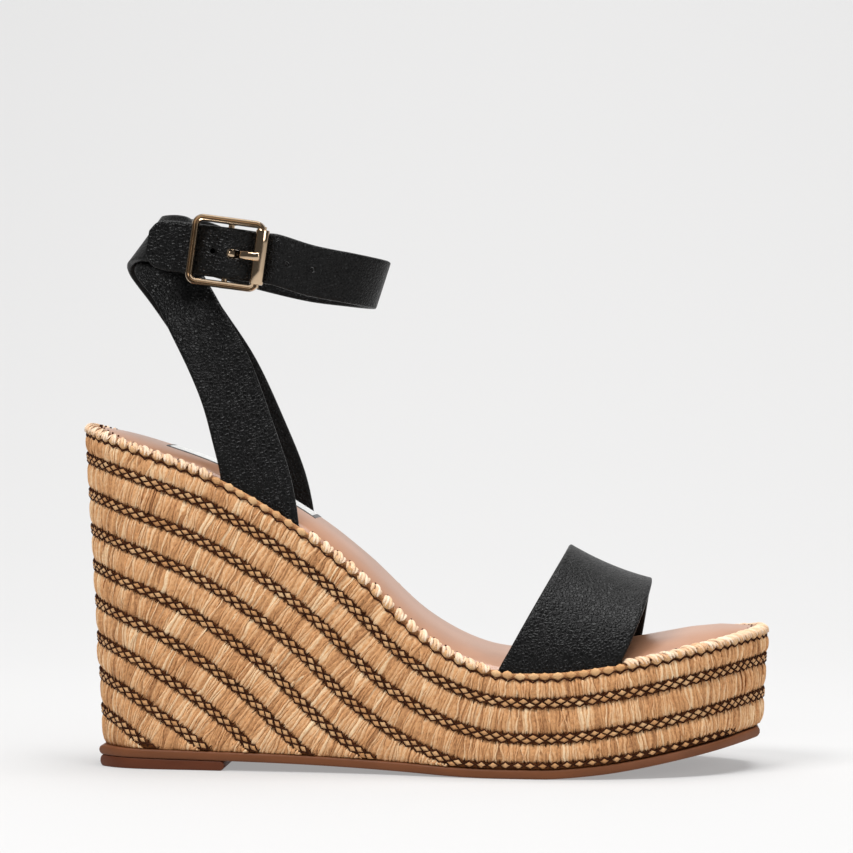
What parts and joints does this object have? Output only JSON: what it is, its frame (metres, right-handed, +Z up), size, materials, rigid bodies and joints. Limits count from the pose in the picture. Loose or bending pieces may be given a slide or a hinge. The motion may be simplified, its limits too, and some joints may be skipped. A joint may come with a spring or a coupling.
{
  "type": "platform wedge sandal",
  "caption": "Open-toe platform wedge sandal for the right foot, wrapped in stitched raffia, with a leather toe band and a criss-cross ankle strap closed by a roller buckle.",
  "frame": {"origin": "on the floor under the middle of the sandal's box", "axes": "+X from the heel towards the toe, +Z up, -Y towards the outer side of a right foot, where the buckle is"},
  "size_m": [0.2258, 0.0844, 0.1819],
  "materials": {
    "sole_rubber": "matte, lightly ribbed at the edge",
    "lift_rubber": "matte",
    "core": "light pressed cork, hidden by the raffia",
    "raffia": "dry woven straw braid",
    "edge_raffia": "whip-stitched straw",
    "thread": "coarse dark thread",
    "board": "pressed fibreboard",
    "steel": "plain",
    "brass": "plain",
    "foam": "soft open foam",
    "sock": "smooth soft leather with a slight sheen",
    "label": "woven, with a dark border",
    "black_leather": "pebbled grain, low sheen",
    "lining": "smooth, matte",
    "gold_metal": "polished pale gold plating"
  },
  "bodies": {
    "sandal": {"outsole": "sole_rubber", "heel_lift": "lift_rubber", "wedge_core": "core", "raffia_row_1": "raffia", "raffia_row_2": "raffia", "raffia_row_3": "raffia", "raffia_row_4": "raffia", "raffia_row_5": "raffia", "raffia_row_6": "raffia", "raffia_row_7": "raffia", "raffia_row_8": "raffia", "raffia_row_9": "raffia", "stitch_row_1": "thread", "stitch_row_2": "thread", "stitch_row_3": "thread", "stitch_row_4": "thread", "stitch_row_5": "thread", "stitch_row_6": "thread", "stitch_row_7": "thread", "stitch_row_8": "thread", "edge_braid": "edge_raffia", "insole_board": "board", "shank": "steel", "shank_rivets": "brass", "heel_nails": "steel", "foam_pad": "foam", "sock_liner": "sock", "heel_label": "label", "vamp_strap_outer": "black_leather", "vamp_strap_lining": "lining", "long_strap_outer": "black_leather", "long_strap_lining": "lining", "short_strap_outer": "black_leather", "short_strap_lining": "lining"},
    "buckle": {"buckle_frame": "gold_metal"},
    "roller": {"buckle_roller": "gold_metal"},
    "tongue": {"buckle_tongue": "gold_metal"}
  },
  "joints": [
    {"name": "buckle_rock", "type": "hinge", "parent": "sandal", "child": "buckle", "pos_m": [-0.06226, -0.02374, 0.1677], "axis": [0.1388, -0.0097, 0.9903], "range_deg": [-2, 2]},
    {"name": "roller_spin", "type": "hinge", "parent": "buckle", "child": "roller", "pos_m": [-0.05153, -0.028, 0.16615], "axis": [0.1388, -0.0097, 0.9903], "continuous": true},
    {"name": "tongue_swing", "type": "hinge", "parent": "buckle", "child": "tongue", "pos_m": [-0.06226, -0.02374, 0.1677], "axis": [-0.1388, 0.0097, -0.9903], "range_deg": [0, 20]}
  ]
}
